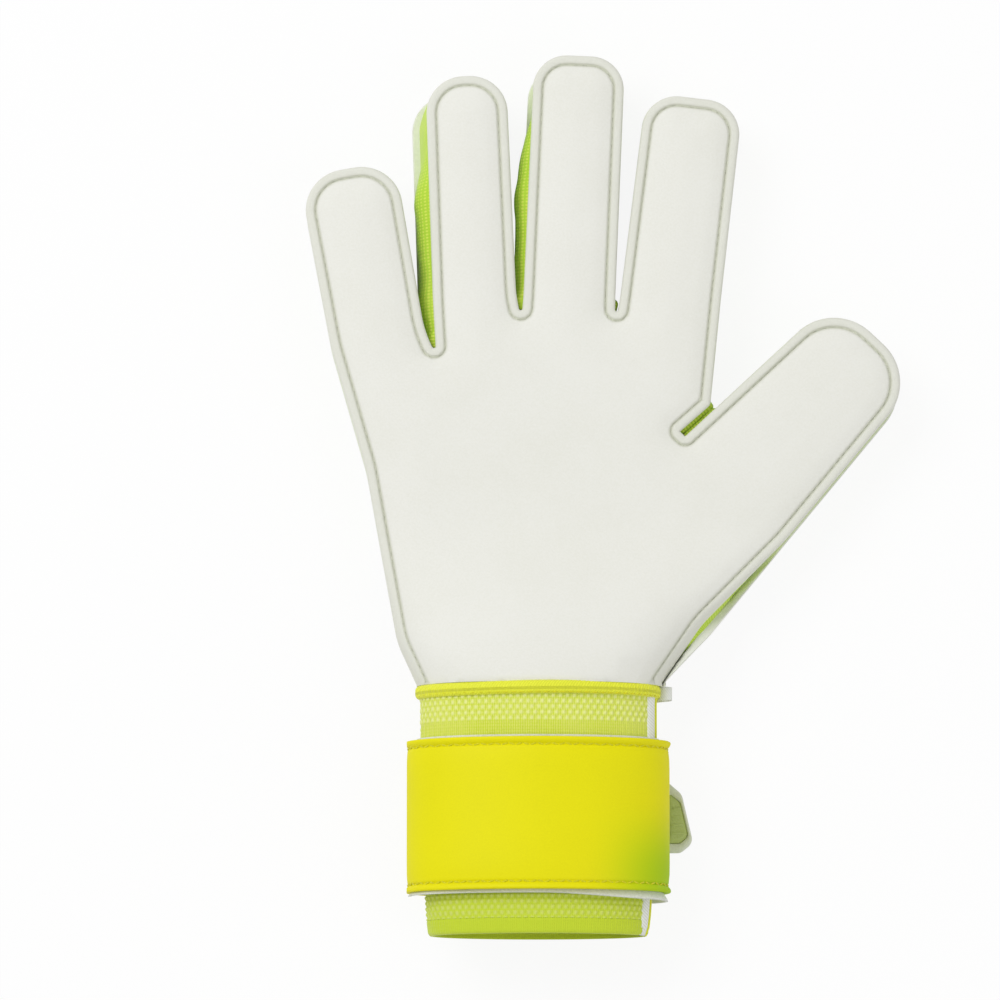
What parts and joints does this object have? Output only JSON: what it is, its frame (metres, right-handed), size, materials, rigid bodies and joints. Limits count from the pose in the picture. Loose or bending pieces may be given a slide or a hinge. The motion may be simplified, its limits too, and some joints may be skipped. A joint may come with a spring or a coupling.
{
  "type": "goalkeeper glove",
  "caption": "Right-hand goalkeeper glove lying on its back: foam palm, five flexing fingers, mesh gussets, elastic cuff and a wrist strap whose flap opens.",
  "frame": {"origin": "centre of the resting footprint's bounding box, at the floor (z = 0)", "axes": "+X toward the thumb side, +Y toward the fingertips, +Z out of the palm"},
  "size_m": [0.1935, 0.2885, 0.046],
  "materials": {
    "latex_foam": "matte natural latex foam",
    "back_foam": "padded back panel, pale latex foam",
    "mesh_gusset": "lime stretch mesh",
    "binding_tape": "bright yellow woven binding tape",
    "knit_elastic": "knitted elastic bandage",
    "hem_elastic": "ribbed elastic hem",
    "white_binding": "white woven binding",
    "tongue_mesh": "dark lime stretch insert",
    "label_satin": "blank satin label",
    "strap_face": "coated yellow strap face",
    "strap_backing": "pale grey loop lining",
    "loop_pile": "brushed loop fabric",
    "hook_tape": "moulded hook tape",
    "tab_rubber": "moulded rubber rim",
    "grip_rubber": "moulded rubber grip insert"
  },
  "bodies": {
    "hand": {"palm_foam": "latex_foam", "back_panel": "back_foam", "web_little_ring": "mesh_gusset", "web_ring_middle": "mesh_gusset", "web_middle_index": "mesh_gusset", "web_index_thumb": "mesh_gusset", "gusset_little_side": "mesh_gusset", "gusset_thumb_side": "mesh_gusset", "wrist_binding": "binding_tape", "cuff_elastic": "knit_elastic", "cuff_hem": "hem_elastic", "slit_binding_front": "white_binding", "slit_binding_back": "white_binding", "slit_tongue": "tongue_mesh", "size_label": "label_satin", "corner_loop": "white_binding", "strap_outer": "strap_face", "strap_lining": "strap_backing", "loop_patch": "loop_pile"},
    "little": {"little_palm": "latex_foam", "little_back": "back_foam", "little_gusset": "mesh_gusset"},
    "ring": {"ring_palm": "latex_foam", "ring_back": "back_foam", "ring_gusset": "mesh_gusset"},
    "middle": {"middle_palm": "latex_foam", "middle_back": "back_foam", "middle_gusset": "mesh_gusset"},
    "index": {"index_palm": "latex_foam", "index_back": "back_foam", "index_gusset": "mesh_gusset"},
    "thumb": {"thumb_palm": "latex_foam", "thumb_back": "back_foam", "thumb_gusset": "mesh_gusset"},
    "strap_flap": {"flap_outer": "strap_face", "flap_lining": "strap_backing", "hook_patch": "hook_tape"},
    "pull_tab": {"tab_body": "tab_rubber", "tab_grip": "grip_rubber"}
  },
  "joints": [
    {"name": "little_flex", "type": "hinge", "parent": "hand", "child": "little", "pos_m": [-0.07345, 0.05113, 0.024], "axis": [0.9839, 0.1788, 0], "range_deg": [0, 75], "stiffness_Nm_per_rad": 0.02},
    {"name": "ring_flex", "type": "hinge", "parent": "hand", "child": "ring", "pos_m": [-0.04183, 0.0647, 0.024], "axis": [0.9992, 0.0401, 0], "range_deg": [0, 75], "stiffness_Nm_per_rad": 0.02},
    {"name": "middle_flex", "type": "hinge", "parent": "hand", "child": "middle", "pos_m": [-0.01082, 0.06521, 0.024], "axis": [0.999, -0.0436, 0], "range_deg": [0, 75], "stiffness_Nm_per_rad": 0.02},
    {"name": "index_flex", "type": "hinge", "parent": "hand", "child": "index", "pos_m": [0.0223, 0.06521, 0.024], "axis": [0.9928, -0.1201, 0], "range_deg": [0, 75], "stiffness_Nm_per_rad": 0.02},
    {"name": "thumb_flex", "type": "hinge", "parent": "hand", "child": "thumb", "pos_m": [0.04192, 0.00096, 0.024], "axis": [0.7254, -0.6884, 0], "range_deg": [0, 50], "stiffness_Nm_per_rad": 0.02},
    {"name": "strap_open", "type": "hinge", "parent": "hand", "child": "strap_flap", "pos_m": [-0.06345, -0.1059, 0.023], "axis": [0, 1, 0], "range_deg": [0, 150]},
    {"name": "tab_lift", "type": "hinge", "parent": "strap_flap", "child": "pull_tab", "pos_m": [0.02015, -0.1038, 0.0025], "axis": [0, -1, 0], "range_deg": [0, 60], "stiffness_Nm_per_rad": 0.004}
  ]
}
